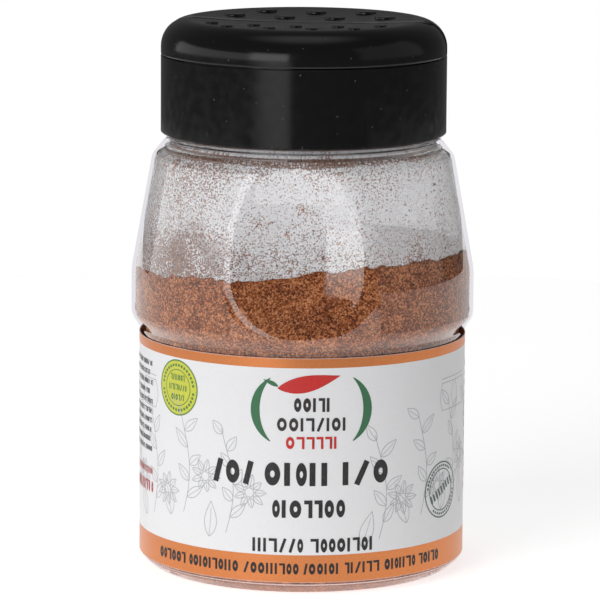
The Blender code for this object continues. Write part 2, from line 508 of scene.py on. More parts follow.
@dataclass(frozen=True)
class Powder(Finish):
    """Ground nutmeg: brown grains from dark to pale, with a few light sparks."""

    dark: Colour = (0.07, 0.015, 0.005)
    pale: Colour = (0.68, 0.28, 0.12)

    def build(self) -> bpy.types.Material:
        """The material."""
        graph, made, shader = self.start()
        grain = graph.add("ShaderNodeGroup", node_tree=bpy.data.node_groups["powder_grain"])
        graph.feed(grain.inputs["Point"], graph.millimetres())
        grain.inputs["Cells"].default_value = 3.5
        grain.inputs["Clumps"].default_value = 0.3
        under = graph.math("MULTIPLY", grain.outputs["Tone"], 2.0, clamp=True)
        low = graph.mix(under, (*self.dark, 1), (*self.colour, 1))
        over = graph.math("MULTIPLY_ADD", grain.outputs["Tone"], 2.0, -1.0, clamp=True)
        body = graph.mix(over, low, (*self.pale, 1))
        spark = graph.math("MULTIPLY", grain.outputs["Spark"], 0.45)
        graph.feed(shader.inputs["Base Color"], graph.mix(spark, body, (0.6, 0.36, 0.2, 1)))
        graph.feed(shader.inputs["Normal"], graph.bump(grain.outputs["Height"], 0.6, 0.2))
        return made


@dataclass(frozen=True)
class DustFilm(Finish):
    """A thin film of powder on the jar's inner wall: pale haze with brown specks, and a faint
    painted glow towards the right front.
    """

    speck: Colour = (0.1, 0.038, 0.024)
    pale_speck: Colour = (0.36, 0.17, 0.095)
    murk: Colour = (0.34, 0.25, 0.235)
    crumb: Colour = (0.38, 0.135, 0.05)
    # shade and neck_shade_lines: near-black lines along the neck's grooves, partly powder caught
    # there and partly painted shade.
    shade: Colour = (0.03, 0.016, 0.013)
    neck_shade_lines: tuple = ((76.95, 77.5), (78.1, 78.45))
    # painted_glow: emission strength of the film's painted glow, which stands in for light coming
    # through the dust from behind.
    painted_glow: float = 0.13
    thin: float = 0.8
    thick: float = 0.97
    fill_level: float = 57.5
    shoulder: float = 75.5

    def build(self) -> bpy.types.Material:
        """The material."""
        graph, made, shader = self.start()
        point = graph.millimetres()
        place = graph.add("ShaderNodeSeparateXYZ", {0: point}).outputs
        height = place[2]
        broad = graph.noise(point, 0.13, 3.0)
        near_fill = graph.step(height, self.fill_level, self.fill_level + 9.0, 0.34, 0.0)
        near_top = graph.step(height, self.shoulder - 4.5, self.shoulder + 0.4, 0.0, 0.3)
        near_top = graph.math("MULTIPLY", near_top, graph.step(height, 77.3, 77.6, 1.0, 0.2))
        near_left = graph.step(place[0], -26.0, -7.0, 0.48, 0.0)
        cover = graph.math("ADD", graph.math("ADD", near_fill, near_top), near_left)
        cover = graph.math("ADD", cover, graph.math("MULTIPLY_ADD", broad, 1.3, -0.34))
        stain = graph.band(height, self.shoulder + 0.7, self.shoulder + 1.45, 0.3)
        # Neck lines: more powder specks in the grooves, and further down a near-black painted shade
        # in the veil.
        lines = [graph.band(height, low, high, 0.2) for low, high in self.neck_shade_lines]
        lines = graph.math("ADD", *lines)
        cover = graph.math("MULTIPLY_ADD", graph.math("ADD", stain, lines), 0.7, cover)
        specks = graph.add("ShaderNodeGroup", node_tree=bpy.data.node_groups["dust_specks"])
        graph.feed(specks.inputs["Point"], point)
        specks.inputs["Cells"].default_value = 3.9
        graph.feed(specks.inputs["Cover"], cover)
        fine = graph.step(graph.noise(point, 3.2, 3.0, 0.7), 0.3, 0.72, -0.18, 0.18)
        haze = graph.math("ADD", graph.step(broad, 0.3, 0.7, self.thin, self.thick), fine)
        haze = graph.math("MULTIPLY", haze, graph.step(place[0], 2.0, 22.0, 1.0, 0.72))
        haze = graph.math("MULTIPLY", haze, graph.step(place[1], -4.0, 8.0, 1.0, 0.5))
        patches = graph.step(graph.noise(point, 0.17, 2.0), 0.46, 0.66)
        murky = graph.math("MULTIPLY", patches, graph.step(place[0], -20.0, 2.0, 1.0, 0.15))
        low_down = graph.step(height, self.fill_level + 3.0, self.fill_level + 12.0, 0.8, 0.0)
        murky = graph.math("MULTIPLY", murky, low_down)
        veil = graph.mix(murky, (*self.colour, 1), (*self.murk, 1))
        # Painted shade: along the neck lines the veil turns near-black.
        veil = graph.mix(graph.math("MULTIPLY", lines, 0.95), veil, (*self.shade, 1))
        tone = graph.mix(specks.outputs["Tone"], (*self.speck, 1), (*self.pale_speck, 1))
        dusty = graph.mix(specks.outputs["Mask"], veil, tone)
        crumbs = graph.step(graph.noise(point, 0.45, 5.0, 0.65), 0.655, 0.68, 0.0, 0.9)
        dusty = graph.mix(crumbs, dusty, (*self.crumb, 1))
        graph.feed(shader.inputs["Base Color"], dusty)
        # Painted light: towards the right front the film glows faintly in its own colour, standing
        # in for light that comes through it from behind.
        to_right = graph.step(place[0], 2.0, 20.0)
        to_front = graph.step(place[1], -4.0, 4.0, 1.0, 0.0)
        through = graph.math("MULTIPLY", to_right, to_front)
        graph.feed(shader.inputs["Emission Color"], graph.mix(through, (0, 0, 0, 1), dusty))
        shader.inputs["Emission Strength"].default_value = self.painted_glow
        # The specks and the painted shade of the neck lines are nearly opaque.
        solid = graph.math("MULTIPLY", graph.math("MAXIMUM", specks.outputs["Mask"], lines), 0.92)
        graph.feed(shader.inputs["Alpha"], graph.math("MAXIMUM", haze, solid, clamp=True))
        return made


@dataclass(frozen=True)
class Paper(Finish):
    """Coated label paper, with a faint fibre."""

    def build(self) -> bpy.types.Material:
        """The material."""
        graph, made, shader = self.start()
        point = graph.millimetres()
        fibre = graph.noise(point, 3.0, 4.0, 0.6)
        shade = graph.step(fibre, 0.3, 0.7)
        worn = tuple(part * 0.965 for part in self.colour)
        graph.feed(shader.inputs["Base Color"], graph.mix(shade, (*worn, 1), (*self.colour, 1)))
        gloss = graph.step(fibre, 0.2, 0.8, self.roughness - 0.05, self.roughness + 0.07)
        graph.feed(shader.inputs["Roughness"], gloss)
        graph.feed(shader.inputs["Normal"], graph.bump(fibre, 0.12, 0.05))
        return made


@dataclass(frozen=True)
class Ink(Finish):
    """Printed ink with slightly uneven cover."""

    def build(self) -> bpy.types.Material:
        """The material."""
        graph, made, shader = self.start()
        cover = graph.step(graph.noise(graph.millimetres(), 2.2, 3.0), 0.25, 0.75)
        thin = tuple(part * 0.85 + 0.02 for part in self.colour)
        graph.feed(shader.inputs["Base Color"], graph.mix(cover, (*thin, 1), (*self.colour, 1)))
        return made


@dataclass(frozen=True)
class Foil(Finish):
    """Copper-coloured metallic ink."""

    metallic: float = 0.85

    def build(self) -> bpy.types.Material:
        """The material."""
        graph, made, shader = self.start()
        shader.inputs["Metallic"].default_value = self.metallic
        flake = graph.noise(graph.millimetres(), 5.0, 2.0)
        deep = tuple(part * 0.86 for part in self.colour)
        shade = graph.step(flake, 0.3, 0.7)
        graph.feed(shader.inputs["Base Color"], graph.mix(shade, (*deep, 1), (*self.colour, 1)))
        gloss = graph.step(flake, 0.2, 0.8, self.roughness - 0.05, self.roughness + 0.05)
        graph.feed(shader.inputs["Roughness"], gloss)
        return made


@dataclass(frozen=True)
class BlackPlastic(Finish):
    """Black moulded plastic with a satin skin and a few specks of dust on it."""

    dust: Colour = (0.1, 0.08, 0.07)

    def build(self) -> bpy.types.Material:
        """The material."""
        graph, made, shader = self.start()
        point = graph.millimetres()
        specks = graph.add("ShaderNodeGroup", node_tree=bpy.data.node_groups["dust_specks"])
        graph.feed(specks.inputs["Point"], point)
        specks.inputs["Cells"].default_value = 2.6
        specks.inputs["Cover"].default_value = 0.007
        skin = graph.noise(point, 0.5, 3.0)
        dusted = graph.mix(specks.outputs["Mask"], (*self.colour, 1), (*self.dust, 1))
        graph.feed(shader.inputs["Base Color"], dusted)
        gloss = graph.step(skin, 0.3, 0.7, self.roughness - 0.03, self.roughness + 0.04)
        graph.feed(shader.inputs["Roughness"], gloss)
        graph.feed(shader.inputs["Normal"], graph.bump(graph.noise(point, 6.0, 2.0), 0.08, 0.05))
        return made


# --------------------------------------------------------------------------- jar


@dataclass
class Jar:
    """The clear jar: a label panel, a belly, a shoulder with two thumb dishes, and a neck."""

    wall: float = 0.9
    foot_radius: float = 29.5
    panel_radius: float = 29.5
    belly_radius: float = 31.3
    shoulder_radius: float = 27.55
    neck_radius: float = 23.2
    top: float = 96.0
    dish_turn: float = math.radians(-1.2)
    dish_floor: float = 25.5
    dish_height: float = 68.0
    dish_width_curve: float = 104.0
    dish_height_curve: float = 92.0
    dish_rim: float = 1.0
    sides: int = 288
    longest: float = 0.45
    finish: Finish = ClearPlastic("clear_jar_plastic", (0.97, 0.972, 0.98), 0.0, 1.0)

    def outer_outline(self) -> np.ndarray:
        """The outside, from the middle of the foot to the rim of the neck."""
        corners = [
            (0.0, 1.3, 0),
            (22.4, 1.3, 0.6),
            (24.2, 0.0, 0.6),
            (27.5, 0.0, 1.6),
            (self.foot_radius, 1.7, 0.9),
            (self.foot_radius, 2.3, 0),
            (self.panel_radius, 2.4, 0),
            (self.panel_radius, 43.0, 0),
            (29.75, 43.3, 0),
            (29.78, 44.1, 0.5),
            (self.belly_radius, 46.35, 2.6),
            (self.belly_radius, 54.6, 15.0),
            (self.shoulder_radius, 75.4, 2.2),
            (26.0, 77.35, 0.3),
            (25.75, 77.4, 0.1),
            (25.7, 77.75, 0.3),
            (25.2, 78.3, 0.25),
            (24.6, 78.45, 0.1),
            (24.65, 78.65, 0.1),
            (25.1, 78.8, 0.2),
            (25.1, 79.3, 0.3),
            (self.neck_radius, 79.5, 0.4),
            (self.neck_radius, self.top, 0.3),
        ]
        return rounded([*corners, (self.neck_radius - self.wall, self.top, 0)])

    def inner_outline(self, outwards: float = 0.0) -> np.ndarray:
        """The inside, from the middle of the floor to the rim of the neck.

        Args:
            outwards: how far into the wall the outline lies.

        Returns:
            Rows of (radius, height).
        """
        inset = self.wall - outwards
        corners = [
            (0.0, 2.2 - outwards, 0),
            (self.panel_radius - inset, 2.2 - outwards, 2.0),
            (self.panel_radius - inset, 44.4, 0.5),
            (self.belly_radius - inset, 46.7, 1.7),
            (self.belly_radius - inset, 54.6, 14.0),
            (self.shoulder_radius - inset, 75.1, 1.5),
            (24.2 - inset, 78.6, 0.8),
            (self.neck_radius - inset, 80.4, 0.8),
            (self.neck_radius - inset, self.top, 0),
        ]
        return rounded(corners)

    def dished(self, points: np.ndarray, inset: float) -> np.ndarray:
        """Presses the two thumb dishes into points of the wall.

        Args:
            points: an array that ends in (x, y, z).
            inset: how far under the outside the points lie.

        Returns:
            The moved points.
        """
        cos, sin = math.cos(-self.dish_turn), math.sin(-self.dish_turn)
        across = points[..., 0] * cos - points[..., 1] * sin
        depth = points[..., 0] * sin + points[..., 1] * cos
        rise = points[..., 2] - self.dish_height
        steep = 0.04 * np.clip(52.0 - points[..., 2], 0.0, None) ** 2
        floor = self.dish_floor - inset + across**2 / self.dish_width_curve
        floor = floor + rise**2 / self.dish_height_curve + steep
        reach = smooth_least(np.abs(depth), floor, self.dish_rim)
        depth = np.sign(depth) * np.maximum(reach, 0.0)
        x, y = across * cos + depth * sin, -across * sin + depth * cos
        return np.stack([x, y, points[..., 2]], axis=-1)

    def surface(self, outline: np.ndarray, inset: float) -> np.ndarray:
        """Grid points of an outline turned about the axis, with the thumb dishes pressed in."""
        return self.dished(turned(refined(outline, self.longest), self.sides), inset)

    def build(self) -> bpy.types.Object:
        """The jar as one closed wall."""
        outside = self.surface(self.outer_outline(), 0.0)
        inside = self.surface(self.inner_outline()[::-1], self.wall)
        points = np.concatenate([outside, inside])
        mesh = joined_mesh("jar_wall", [(points, grid_faces(len(points), self.sides, True))])
        tidy_mesh(mesh, sharp=None)
        return piece("jar_wall", mesh, self.finish.build(), stands_for=["jar"])


@dataclass
class Fill:
    """The ground nutmeg, the film of dust over it and the grains that cling to the wall."""

    jar: Jar
    level: float = 57.5
    lean: float = 1.5
    into_wall: float = 0.1
    film_gap: float = 0.06
    top_rows: int = 64
    climb_rows: int = 10
    grains: int = 2600
    grain_gap: float = 0.08
    wall_reach: float = 27.0
    # Turn from the front, height, reach and number of grains of each clump on the wall.
    clumps: tuple = (
        (0.0, 68.8, 1.6, 60),
        (-0.29, 66.2, 1.3, 45),
        (-0.1, 64.2, 0.8, 22),
        (-1.02, 75.0, 1.6, 60),
        (0.12, 60.4, 1.2, 50),
        (-0.75, 62.0, 1.5, 40),
    )
    powder: Finish = Powder("ground_nutmeg_powder", (0.31, 0.083, 0.024), 0.95, 0.15)
    film: Finish = DustFilm("nutmeg_dust_film", (0.94, 0.925, 0.935), 0.9, 0.1)

    def top_height(self, x: float, y: float) -> float:
        """Height of the powder at a place in the jar."""
        broad = noise.noise(Vector((x / 16.0, y / 16.0, 3.7)))
        lumps = noise.noise(Vector((x / 4.5, y / 4.5, 8.1)))
        ragged = noise.noise(Vector((x / 1.3, y / 1.3, 1.9)))
        edge = max(0.0, math.hypot(x, y) - 22.0) / 8.0
        lean = self.lean * math.tanh(x / 12.0)
        return self.level + lean + 0.6 * broad + 0.6 * lumps + (0.2 + 0.4 * edge) * ragged

    def core(self) -> bpy.types.Object:
        """The powder as one solid that reaches just into the wall."""
        inset = self.jar.wall - self.into_wall
        outline = refined(self.jar.inner_outline(self.into_wall), 0.5)
        wall = outline[outline[:, 1] < 53.5]
        low = self.jar.dished(turned(wall, self.jar.sides), inset)
        guide = outline[(outline[:, 1] > 50.0) & (outline[:, 1] < 70.0)]
        reach = float(np.interp(self.level, guide[:, 1], guide[:, 0]))
        rim = turned(np.array([[reach, self.level]]), self.jar.sides)
        rim = self.jar.dished(rim, inset)[0]
        heights = np.array([self.top_height(x, y) for x, y, _ in rim])
        climbing = []
        turn = np.linspace(0.0, math.tau, self.jar.sides, endpoint=False) + math.pi
        for step in range(1, self.climb_rows + 1):
            height = wall[-1, 1] + (heights - wall[-1, 1]) * step / self.climb_rows
            radius = np.interp(height, guide[:, 1], guide[:, 0])
            ring = np.stack([radius * np.sin(turn), -radius * np.cos(turn), height], axis=-1)
            climbing.append(self.jar.dished(ring, inset))
        edge = climbing[-1]
        rows = []
        for step in range(1, self.top_rows):
            share = 1.0 - step / self.top_rows
            ring = edge * (share, share, 1.0)
            ring[:, 2] = [self.top_height(x, y) for x, y, _ in ring]
            ring[:, 2] += (edge[:, 2] - heights) * share**20
            rows.append(ring)
        centre = np.zeros((1, self.jar.sides, 3))
        centre[..., 2] = self.top_height(0.0, 0.0)
        points = np.concatenate([low, np.array(climbing), np.array(rows), centre])
        faces = grid_faces(len(points), self.jar.sides, True)
        mesh = joined_mesh("powder_core", [(points, faces)])
        tidy_mesh(mesh, sharp=None)
        powder = self.powder.build()
        return piece("powder_core", mesh, powder, stands_for=["ground_nutmeg"])

    def dust(self) -> bpy.types.Object:
        """The film of dust on the wall over the powder."""
        outline = refined(self.jar.inner_outline(-self.film_gap), 0.6)
        outline = outline[(outline[:, 1] > self.level - 5.0) & (outline[:, 1] < 92.0)]
        points = self.jar.dished(turned(outline, self.jar.sides), self.jar.wall + self.film_gap)
        mesh = joined_mesh("dust_film", [(points, grid_faces(len(points), self.jar.sides, True))])
        tidy_mesh(mesh, sharp=None)
        return piece("dust_film", mesh, self.film.build())

    def clinging(self) -> bpy.types.Object:
        """Loose grains on the wall over the powder, thinning out upwards."""
        draw = random.Random(11)
        outline = self.jar.inner_outline()
        guide = outline[(outline[:, 1] > 50.0) & (outline[:, 1] < 78.0)]
        places = []
        for _ in range(self.grains):
            turn = draw.uniform(0.0, math.tau)
            height = self.level - 0.5 + 19.0 * draw.random() ** 1.6
            places.append((turn, height, draw.uniform(0.06, 0.17)))
        for turn, height, reach, count in self.clumps:
            for _ in range(count):
                away, way = reach * draw.random(), draw.uniform(0, math.tau)
                aside, up = away * math.cos(way) / self.wall_reach, away * math.sin(way)
                places.append((turn + aside, height + up, draw.uniform(0.07, 0.15)))
        centres = []
        for turn, height, _ in places:
            radius = float(np.interp(height, guide[:, 1], guide[:, 0])) - self.grain_gap
            centres.append((radius * math.sin(turn), -radius * math.cos(turn), height))
        centres = self.jar.dished(np.array(centres), self.jar.wall + self.grain_gap)
        sizes = [size for _, _, size in places]
        mesh = grain_mesh("clinging_grains", centres, sizes, draw)
        return piece("clinging_grains", mesh, bpy.data.materials[self.powder.name])


def grain_mesh(
    name: str, centres: np.ndarray, sizes: Sequence[float], draw: random.Random
) -> bpy.types.Mesh:
    """Many small uneven grains as one mesh.

    Args:
        name: the mesh's name.
        centres: rows of (x, y, z) in millimetres.
        sizes: radius of each grain.
        draw: the source of random numbers.

    Returns:
        The mesh, in metres.
    """
    bm = bmesh.new()
    bmesh.ops.create_icosphere(bm, subdivisions=1, radius=1.0)
    shape = np.array([vert.co[:] for vert in bm.verts])
    faces = [[vert.index for vert in face.verts] for face in bm.faces]
    bm.free()
    parts = []
    for centre, size in zip(centres, sizes):
        angle = draw.uniform(0, math.tau)
        axis = Vector((draw.gauss(0, 1), draw.gauss(0, 1), 1.0))
        turn = Matrix.Rotation(angle, 3, axis)
        stretch = np.array([draw.uniform(0.6, 1.2) for _ in range(3)])
        uneven = 1.0 + np.array([[draw.uniform(-0.22, 0.22)] for _ in range(len(shape))])
        parts.append(((shape * stretch * uneven) @ np.array(turn) * size + centre, faces))
    mesh = joined_mesh(name, parts)
    mesh.shade_smooth()
    return mesh


# --------------------------------------------------------------------------- label


Place = tuple[float, float]


@dataclass
class Print:
    """Printed shapes of one ink, drawn flat and wrapped on the label.

    A shape's place is (along, up): millimetres along the paper to the right of its front's
    middle, and height over the foot.
    """

    radius: float
    finish: Finish
    parts: list[tuple[np.ndarray, list]] = field(default_factory=list)

    def wrapped(self, flat: np.ndarray) -> np.ndarray:
        """Points on the label from an array that ends in (along, up)."""
        turn = flat[..., 0] / self.radius
        x, y = self.radius * np.sin(turn), -self.radius * np.cos(turn)
        return np.stack([x, y, flat[..., 1]], axis=-1)

    def patch(self, flat: np.ndarray, closed: bool = False) -> None:
        """Adds a grid of flat points, an array of rows, columns and (along, up)."""
        rows, columns = flat.shape[:2]
        self.parts.append((self.wrapped(flat), grid_faces(rows, columns, closed)))

    def bar(self, low: Place, high: Place) -> None:
        """Adds an upright rectangle between two corners."""
        count = max(2, math.ceil(abs(high[0] - low[0]) / 1.0) + 1)
        along = np.linspace(low[0], high[0], count)
        rows = [np.stack([along, np.full(count, up)], axis=-1) for up in (low[1], high[1])]
        self.patch(np.array(rows))

    def stroke(self, path: np.ndarray, width: float | np.ndarray) -> None:
        """Adds a line of this width along a path of (along, up) points."""
        path = np.asarray(path, float)
        way = np.gradient(path, axis=0)
        way /= np.linalg.norm(way, axis=1, keepdims=True)
        side = np.stack([-way[:, 1], way[:, 0]], axis=-1) * np.reshape(width, (-1, 1)) / 2
        self.patch(np.array([path - side, path + side]))

    def disc(
        self, centre: Place, radius: float, inner: float = 0.0, squash: float = 1.0
    ) -> None:
        """Adds a disc or a ring.

        Args:
            centre: its middle.
            radius: its outer radius.
            inner: its inner radius, 0 for a disc.
            squash: its height as a share of its width.
        """
        turn = np.linspace(0, math.tau, 49)[:-1]
        count = max(2, math.ceil((radius - inner) / 0.8) + 1)
        rows = []
        for reach in np.linspace(max(inner, 0.01), radius, count):
            x, y = reach * np.cos(turn), reach * squash * np.sin(turn)
            rows.append(np.stack([centre[0] + x, centre[1] + y], axis=-1))
        self.patch(np.array(rows), closed=True)

    def leaf(
        self,
        start: Place,
        length: float,
        width: float,
        tilt: float,
        bend: float = 0.0,
        line: float | None = None,
    ) -> None:
        """Adds a leaf shape, filled or as an outline.

        Args:
            start: where its stalk joins.
            length: its length.
            width: its greatest width.
            tilt: the way it points, in radians from the right.
            bend: how far its tip curls sideways.
            line: width of its outline, or None to fill it.
        """
        share = np.linspace(0.0, 1.0, 17)
        swell = np.sin(math.pi * share**0.8) * width / 2
        curve = bend * share**2

        def placed(x: np.ndarray, y: np.ndarray) -> np.ndarray:
            """Points turned by the tilt and moved to the start."""
            along = start[0] + x * math.cos(tilt) - y * math.sin(tilt)
            up = start[1] + x * math.sin(tilt) + y * math.cos(tilt)
            return np.stack([along, up], axis=-1)

        x = share * length
        if line is None:
            shares = np.linspace(-1, 1, 5)
            self.patch(np.array([placed(x, curve + swell * part) for part in shares]))
            return
        for part in (-1.0, 1.0):
            self.stroke(placed(x, curve + swell * part), line)
        self.stroke(placed(x[:14], curve[:14]), line * 0.8)

    def words(
        self,
        low: Place,
        high: Place,
        draw: random.Random,
        pitch: float = 0.62,
        gaps: int = 5,
        weight: float = 0.2,
    ) -> None:
        """Adds a row of small plain bars that stands for a line of print.

        Args:
            low: lower left corner.
            high: upper right corner.
            draw: the source of random numbers.
            pitch: spacing of the marks as a share of the row's height.
            gaps: least number of marks in a run.
            weight: width of a mark's lines as a share of the row's height.
        """
        height = high[1] - low[1]
        thick = height * weight
        along, run = low[0], 0
        while along < high[0] - thick:
            width = height * pitch * draw.uniform(0.8, 1.25)
            if run >= gaps and draw.random() < 0.45:
                along, run = along + width * 0.6, 0
                continue
            end = min(along + width * 0.8, high[0])
            kind = draw.random()
            middle = ((along + end) / 2, (low[1] + high[1]) / 2)
            if kind < 0.3:
                self.bar((along, low[1]), (along + thick, high[1]))
                along += thick * 2.0
            elif kind < 0.65:
                reach = (end - along) / 2
                self.disc(middle, reach, max(reach - thick, reach * 0.3), height / 2 / reach)
                along += width
            elif kind < 0.8:
                slant = [(along + thick / 2, low[1]), middle, (end - thick / 2, high[1])]
                self.stroke(np.array(slant), thick)
                along += width
            else:
                self.bar((along, high[1] - thick), (end, high[1]))
                self.bar((end - thick, low[1]), (end, high[1] - thick))
                along += width
            run += 1

    def build(self, name: str) -> bpy.types.Object:
        """The ink as one piece on the label."""
        mesh = joined_mesh(name, self.parts)
        tidy_mesh(mesh, sharp=None)
        return piece(name, mesh, self.finish.build())


@dataclass
class Label:
    """The paper label: copper bands, a plain emblem, a seal, a stamp and rows of print."""

    radius: float = 29.86
    thickness: float = 0.16
    bottom: float = 2.4
    top: float = 43.0
    overlap: float = math.radians(9.0)
    lift: float = 0.015
    paper: Finish = Paper("label_paper_white", (0.86, 0.86, 0.875), 0.42, 0.4)

    def sheet(self) -> bpy.types.Object:
        """The paper, with its ends lapped at the back."""
        count = 241
        turn = np.linspace(-math.pi, math.pi + self.overlap, count)
        up = np.linspace(self.bottom, self.top, 12)
        lapped = np.clip((turn - math.pi + math.radians(2)) / math.radians(4), 0, 1) * 0.1
        rings = []
        for depth in (0.0, self.thickness):
            radius = self.radius - depth + lapped
            x, y = radius * np.sin(turn), -radius * np.cos(turn)
            rings.append(np.array([np.stack([x, y, np.full(count, z)], axis=-1) for z in up]))
        outer, inner = rings
        parts = [
            (outer, grid_faces(len(up), count, False)),
            (inner, grid_faces(len(up), count, False)),
            (np.array([outer[0], inner[0]]), grid_faces(2, count, False)),
            (np.array([outer[-1], inner[-1]]), grid_faces(2, count, False)),
            (np.array([outer[:, 0], inner[:, 0]]), grid_faces(2, len(up), False)),
            (np.array([outer[:, -1], inner[:, -1]]), grid_faces(2, len(up), False)),
        ]
        mesh = joined_mesh("label_sheet", parts)
        tidy_mesh(mesh)
        return piece("label_sheet", mesh, self.paper.build(), stands_for=["label"])

    def ink(self, name: str, colour: Colour, layer: int, roughness: float = 0.4) -> Print:
        """An empty print of one ink.

        Args:
            name: the finish's name.
            colour: the ink's colour.
            layer: how many inks lie under it.
            roughness: the ink's roughness.

        Returns:
            The print.
        """
        return Print(self.radius + self.lift * (layer + 1), Ink(name, colour, roughness, 0.4))

    def bands(self) -> None:
        """The copper bands along the label's edges."""
        foil = Print(self.radius + self.lift, Foil("copper_ink", (0.72, 0.25, 0.088), 0.34))
        half = math.pi * self.radius - 1.5
        for low, high in ((self.bottom + 0.05, 7.4), (41.25, self.top - 0.05)):
            foil.bar((-half, low), (half, high))
        foil.build("copper_bands")

    def line_art(self) -> None:
        """Thin grey drawings of leaves, flowers and pots all round the label."""
        grey = self.ink("grey_line_ink", (0.52, 0.52, 0.54), 0)
        draw = random.Random(5)
        thin = 0.14
        spots = [spot for spot in np.arange(-90.0, 91.0, 9.5) if not -9.0 < spot < 12.0]
        for spot in spots:
            base = draw.uniform(9.5, 15.0)
            stalk = [(spot + 1.5 * math.sin(step / 5.0), base + step) for step in range(20)]
            stalk = np.array(stalk)
            grey.stroke(stalk, thin)
            for step in range(3, 19, 3):
                side = 1 if step % 2 else -1
                length = draw.uniform(3.0, 4.6)
                tilt = math.pi / 2 - side * draw.uniform(0.6, 1.1)
                grey.leaf(tuple(stalk[step]), length, 1.7, tilt, 0.3 * side, thin)
            bloom = (spot + draw.uniform(4.0, 5.5), base + draw.uniform(-2.0, 14.0))
            grey.disc(bloom, 0.9, 0.9 - thin)
            for step in range(9):
                turn = math.tau * step / 9
                foot = (bloom[0] + math.cos(turn), bloom[1] + math.sin(turn))
                grey.leaf(foot, draw.uniform(1.8, 2.4), 1.1, turn, 0.0, thin)
            grey.leaf((spot - 3.5, base - 1.0), 6.5, 2.6, draw.uniform(1.0, 2.1), 0.6, thin)
        for spot in (33.0, 37.5, -35.0):
            self.pot(grey, spot, 31.0, thin)
        grey.build("grey_line_art")

    @staticmethod
    def pot(ink: Print, along: float, up: float, thin: float) -> None:
        """Adds the outline of a small round pot with a rim.

        Args:
            ink: the print that takes it.
            along: its middle.
            up: its foot.
            thin: width of the line.
        """
        side = np.linspace(0, 1, 12)
        swell = 2.6 + 0.9 * np.sin(math.pi * side)
        for way in (-1, 1):
            ink.stroke(np.stack([along + way * swell, up + 5.0 * side], axis=-1), thin)
        for height, reach in ((0.0, 2.6), (5.0, 2.9), (5.8, 2.9)):
            ink.bar((along - reach, up + height), (along + reach, up + height + thin))

    def emblem(self) -> None:
        """A plain emblem: two green arcs round a red leaf over three short rows."""
        green = self.ink("green_ink", (0.035, 0.17, 0.07), 1)
        red = self.ink("red_ink", (0.62, 0.02, 0.015), 2)
        middle, height = 1.8, 33.7
        for way in (-1, 1):
            turn = np.linspace(-0.95, 0.95, 31)
            along = middle + way * (3.6 + 6.6 * np.cos(turn))
            path = np.stack([along, height + 7.0 * np.sin(turn)], axis=-1)
            green.stroke(path, 0.15 + 1.5 * np.cos(turn / 0.95 * math.pi / 2))
        red.leaf((middle - 6.2, 37.6), 11.5, 3.0, 0.12, 0.9)
        green.leaf((middle - 6.0, 37.9), 3.0, 0.8, 2.6, 0.4)
        black = self.ink("emblem_dark_ink", (0.03, 0.02, 0.02), 2)
        draw = random.Random(3)
        for low, high, half in ((33.4, 35.9, 3.2), (29.9, 32.3, 6.2), (26.7, 28.9, 4.6)):
            target = red if low < 29.0 else black
            target.words((middle - half, low), (middle + half, high), draw, 0.72, 9)
        green.build("green_print")
        red.build("red_print")
        black.build("emblem_rows")

    def seal(self) -> None:
        """A round yellow seal with a green rim and small rows."""
        yellow = self.ink("yellow_ink", (0.66, 0.68, 0.06), 0)
        green = self.ink("seal_green_ink", (0.10, 0.24, 0.05), 1)
        spot = (-25.2, 35.8)
        yellow.disc(spot, 5.1)
        green.disc(spot, 5.1, 4.85)
        green.disc(spot, 3.35, 3.2)
        draw = random.Random(8)
        for low, half in ((37.1, 1.9), (35.3, 2.4), (33.5, 1.8)):
            green.words((spot[0] - half, low), (spot[0] + half, low + 1.1), draw, 0.6, 9)
        for step in range(34):
            turn = math.tau * step / 34
            place = (spot[0] + 4.1 * math.cos(turn), spot[1] + 4.1 * math.sin(turn))
            if abs(math.sin(turn)) > 0.12:
                green.disc(place, 0.27)
        yellow.build("yellow_seal")
        green.build("seal_rim")

    def stamp(self) -> None:
        """A tilted green stamp: two rings with a bar of small print across."""
        green = self.ink("stamp_ink", (0.09, 0.13, 0.10), 1)
        spot, tilt = (30.3, 16.6), 0.45
        green.disc(spot, 5.2, 4.95)
        green.disc(spot, 3.9, 3.7)
        for step in range(40):
            turn = math.tau * step / 40
            if abs(math.sin(turn - tilt)) > 0.45:
                dot = (spot[0] + 4.42 * math.cos(turn), spot[1] + 4.42 * math.sin(turn))
                green.disc(dot, 0.24)
        cos, sin = math.cos(tilt), math.sin(tilt)
        for step in range(9):
            reach = -3.6 + step * 0.9
            path = [
                (spot[0] + reach * cos - rise * sin, spot[1] + reach * sin + rise * cos)
                for rise in (-0.75, 0.0, 0.75)
            ]
            green.stroke(np.array(path), 0.5)
        green.build("green_stamp")

    def rows(self) -> None:
        """The large title row, the two rows under it and the small print at the sides."""
        black = self.ink("black_ink", (0.012, 0.011, 0.012), 2)
        draw = random.Random(21)
        black.words((-16.6, 20.0), (-8.6, 24.2), draw, 0.72, 30, 0.25)
        black.words((-6.6, 20.0), (5.4, 24.2), draw, 0.72, 30, 0.25)
        black.words((7.4, 20.0), (17.8, 24.2), draw, 0.72, 30, 0.25)
        black.words((-5.2, 14.2), (8.0, 17.4), draw, 0.66, 30, 0.22)
        black.words((-8.8, 7.9), (14.0, 10.4), draw, 0.6, 7)
        for row in range(10):
            low = 38.3 - row * 1.75
            black.words((-46.0, low), (-33.0 + draw.uniform(-2, 0), low + 0.95), draw, 0.6, 6)
        for row in range(13):
            low = 37.0 - row * 1.9
            black.words((44.0, low), (72.0, low + 0.9), draw, 0.6, 6)
        black.words((-30.5, 3.9), (30.0, 5.9), draw, 0.6, 6)
        black.build("black_print")
        red = self.ink("side_red_ink", (0.55, 0.03, 0.02), 2)
        red.words((-44.0, 18.3), (-33.5, 19.5), draw, 0.6, 8)
        red.words((-44.0, 15.0), (-33.5, 17.0), draw, 0.6, 8)
        red.build("side_red_print")

    def build(self) -> None:
        """The sheet and all its print."""
        self.sheet()
        self.bands()
        self.line_art()
        self.emblem()
        self.seal()
        self.stamp()
        self.rows()


# --------------------------------------------------------------------------- cap


